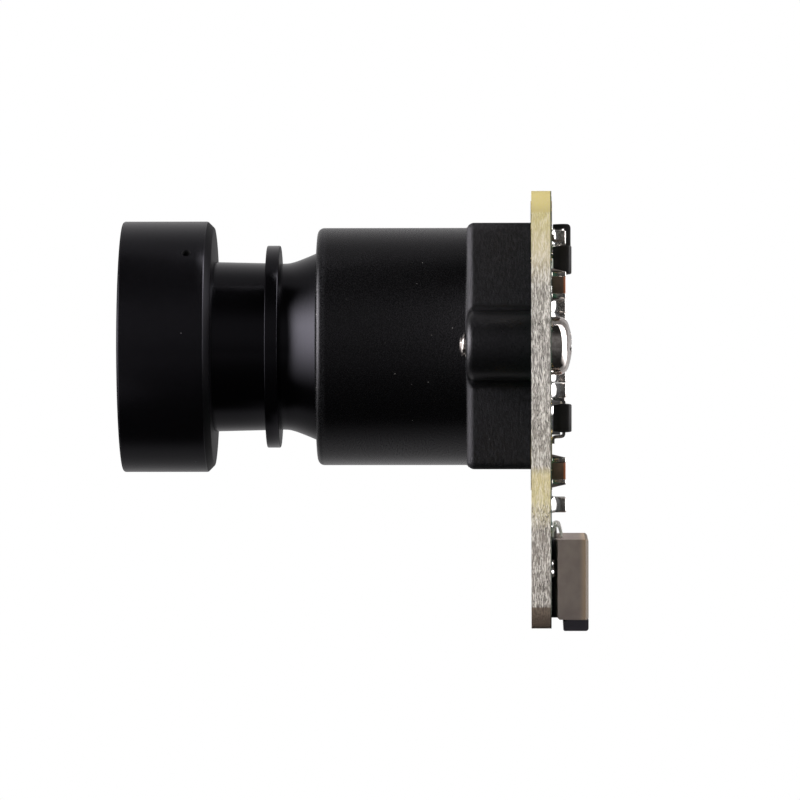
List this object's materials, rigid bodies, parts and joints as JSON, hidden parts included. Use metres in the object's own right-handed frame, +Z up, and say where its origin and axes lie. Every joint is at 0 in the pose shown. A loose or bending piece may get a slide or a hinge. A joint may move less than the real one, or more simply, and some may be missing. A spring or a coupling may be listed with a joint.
{
  "type": "camera board with screw-in lens",
  "caption": "Small camera board with a screw-in focusing lens in a moulded holder, a sensor and a flat-cable connector on its back.",
  "frame": {"origin": "on the optical axis at the circuit board's front face, which is the centre of the four mounting holes", "axes": "+Z up along the board, +Y from the lens towards the board's back, so the lens looks along -Y, +X across the board"},
  "size_m": [0.025, 0.0263, 0.0243],
  "materials": {
    "board": "glass-epoxy laminate with green solder mask",
    "gold_plating": "thin gold plating",
    "holder_plastic": "black moulded, fine texture",
    "nickel_screw": "bright nickel plated steel",
    "filter_glass": "coated infrared-cut filter",
    "solder": "bright reflowed solder",
    "sensor_body": "black chip package",
    "silicon": "polished silicon with colour filters",
    "clear_glass": "clear cover glass",
    "black_anodised": "black anodised, satin",
    "lens_glass": "polished, anti-reflection coated",
    "chip_plastic": "black moulded epoxy",
    "tin": "matte tin plating",
    "capacitor_ceramic": "dark brown ceramic",
    "light_ceramic": "tan ceramic",
    "alumina": "white ceramic",
    "dark_ceramic": "dark ceramic",
    "lid_metal": "plated lid",
    "connector_plastic": "taupe heat-resistant plastic",
    "latch_plastic": "black plastic"
  },
  "bodies": {
    "camera_board": {"circuit_board": "board", "hole_plating": "gold_plating", "lens_holder": "holder_plastic", "holder_screws": "nickel_screw", "ir_filter": "filter_glass", "sensor_solder": "solder", "sensor_package": "sensor_body", "sensor_die": "silicon", "sensor_glass": "clear_glass", "regulator_bodies": "chip_plastic", "regulator_leads": "tin", "capacitor_bodies": "capacitor_ceramic", "capacitor_caps": "tin", "small_capacitor_bodies": "light_ceramic", "small_capacitor_caps": "tin", "resistor_bodies": "alumina", "resistor_caps": "tin", "resistor_elements": "chip_plastic", "oscillator_base": "dark_ceramic", "oscillator_lid": "lid_metal", "solder_fillets": "solder", "connector_housing": "connector_plastic", "connector_contacts": "gold_plating", "connector_anchors": "tin"},
    "lens_optics": {"front_element": "lens_glass", "front_spacer": "black_anodised", "second_element": "lens_glass", "aperture_stop": "black_anodised", "cemented_doublet": "lens_glass", "rear_spacer": "black_anodised", "rear_element": "lens_glass"},
    "lens_barrel": {"lens_barrel": "black_anodised", "front_retainer": "black_anodised", "rear_retainer": "black_anodised"},
    "cable_latch": {"connector_latch": "latch_plastic"}
  },
  "joints": [
    {"name": "lens_focus", "type": "slide", "parent": "camera_board", "child": "lens_optics", "axis": [0, -1, 0], "range_m": [-0.001, 0.002]},
    {"name": "lens_turn", "type": "hinge", "parent": "lens_optics", "child": "lens_barrel", "pos_m": [0, -0.012, 0], "axis": [0, -1, 0], "range_deg": [-720, 1440]},
    {"name": "latch_slide", "type": "slide", "parent": "camera_board", "child": "cable_latch", "axis": [0, 0, -1], "range_m": [0, 0.001]}
  ],
  "couplings": [
    {"joint": "lens_focus", "follows": "lens_turn", "m_per_rad": 0.000079577}
  ]
}
